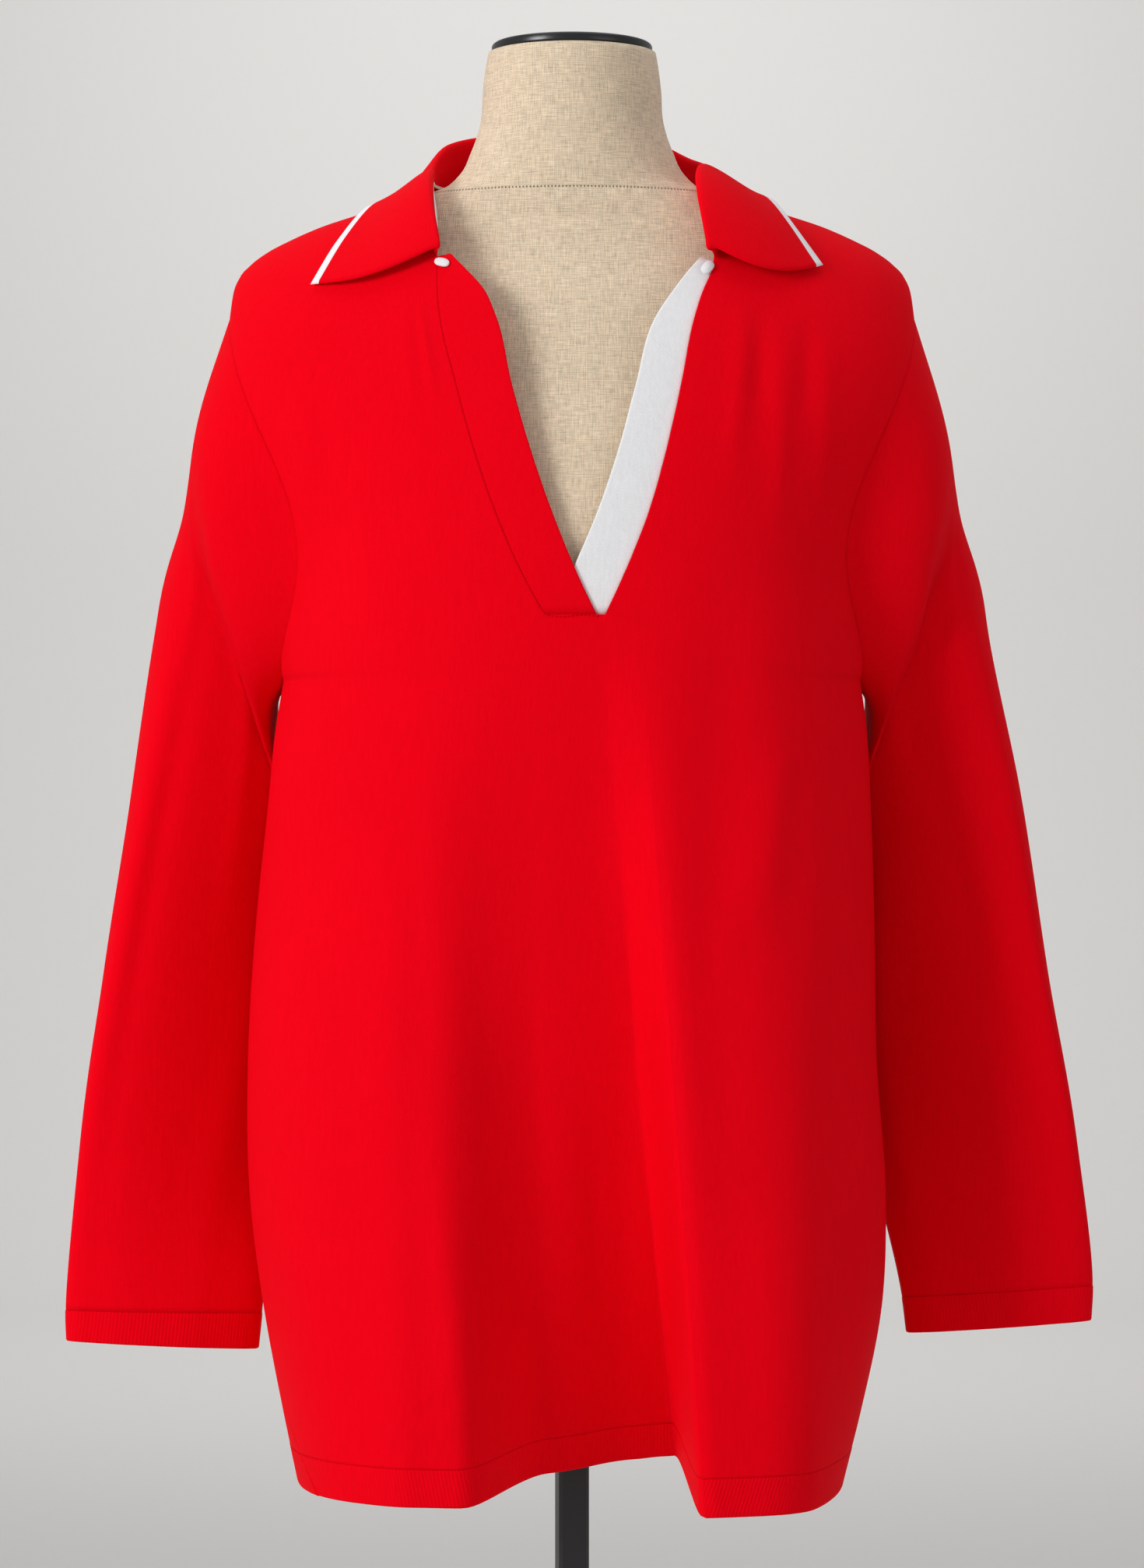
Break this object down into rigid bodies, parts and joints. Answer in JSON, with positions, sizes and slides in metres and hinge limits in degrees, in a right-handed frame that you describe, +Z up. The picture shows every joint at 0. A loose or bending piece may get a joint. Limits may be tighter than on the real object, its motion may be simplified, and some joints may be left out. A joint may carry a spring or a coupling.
{
  "type": "sweater on a dress form",
  "caption": "Long-sleeved fine-knit tunic sweater with an open polo collar, a deep V opening with plackets and soft vertical folds, worn by a limbless dress form on a pole stand.",
  "frame": {"origin": "middle of the underside of the stand's base, on the floor, straight under the pole", "axes": "+Z up along the pole, -Y to the front of the garment, +X to the viewer's right when facing the front"},
  "size_m": [0.6089, 0.36, 1.4988],
  "materials": {
    "red_knit": "matte fine jersey knit with a soft nap",
    "red_rib": "matte fine rib knit",
    "white_knit": "matte fine knit",
    "linen_cover": "natural plain-weave linen",
    "dark_cap": "dark satin",
    "black_paint": "satin black"
  },
  "bodies": {
    "root": {"front": "red_knit", "back": "red_knit", "sleeve_left": "red_knit", "sleeve_right": "red_knit", "cuff_left": "red_rib", "cuff_right": "red_rib", "hem_front": "red_rib", "hem_back": "red_rib", "placket_top": "red_knit", "placket_under": "white_knit", "collar": "red_knit", "neck_tape": "white_knit", "form_torso": "linen_cover", "form_neck_cap": "dark_cap", "stand_pole": "black_paint", "stand_base": "black_paint"}
  },
  "joints": []
}
